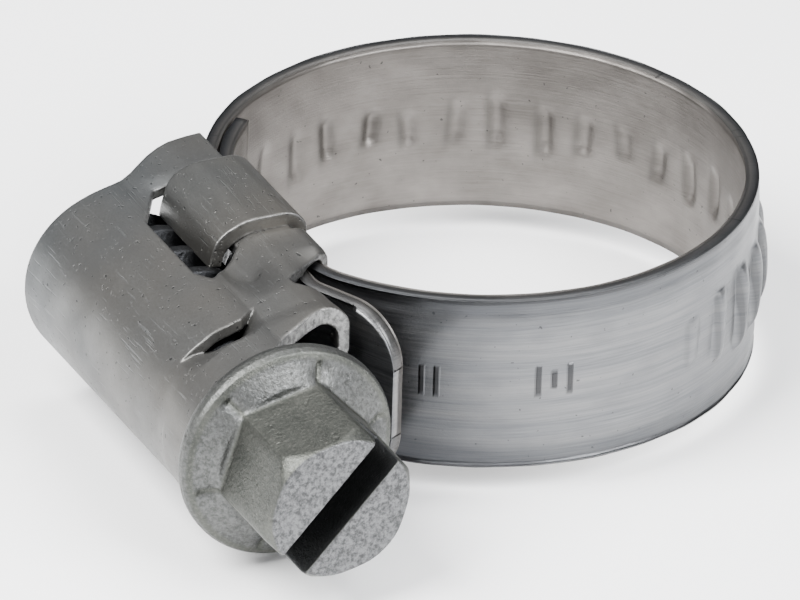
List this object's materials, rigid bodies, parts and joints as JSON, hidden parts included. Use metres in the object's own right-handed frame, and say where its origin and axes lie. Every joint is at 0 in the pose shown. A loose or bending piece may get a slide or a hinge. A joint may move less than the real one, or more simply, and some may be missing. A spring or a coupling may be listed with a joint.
{
  "type": "worm-drive hose clamp",
  "caption": "Worm-drive hose clamp with a ribbed steel band, a stamped housing, a hooked saddle plate and a slotted hexagon screw.",
  "frame": {"origin": "centre of the ring at half the band's width", "axes": "+Z along the ring's axis (the hose's axis), +X along the worm screw towards its head, the housing at -Y"},
  "size_m": [0.0341, 0.036, 0.0118],
  "materials": {
    "band_steel": "rolled stainless band steel, fine lines along the band, semi-matt",
    "housing_steel": "pressed stainless sheet, dull grey, light scratches and pits",
    "saddle_steel": "pressed stainless sheet, dull grey, brighter sheared edges",
    "screw_steel": "cold-headed stainless screw, speckled matt flange and head"
  },
  "bodies": {
    "clamp": {"housing": "housing_steel", "saddle_bridge": "saddle_steel", "band_ring": "band_steel"},
    "screw": {"worm_screw": "screw_steel"},
    "tail": {"band_tail": "band_steel"},
    "tip": {"band_tip": "band_steel"}
  },
  "joints": [
    {"name": "band_feed", "type": "slide", "parent": "clamp", "child": "tail", "axis": [1, 0, 0], "range_m": [0, 0.00275], "deforming": ["band_ring"]},
    {"name": "screw_turn", "type": "hinge", "parent": "clamp", "child": "screw", "pos_m": [0, -0.01675, 0], "axis": [-1, 0, 0], "range_deg": [0, 451]},
    {"name": "tip_flex", "type": "hinge", "parent": "tail", "child": "tip", "pos_m": [0.00543, -0.01192, 0], "axis": [0, 0, 1], "range_deg": [0, 32]}
  ],
  "couplings": [
    {"joint": "screw_turn", "follows": "band_feed", "rad_per_m": 2856},
    {"joint": "tip_flex", "follows": "band_feed", "rad_per_m": 196.75}
  ]
}
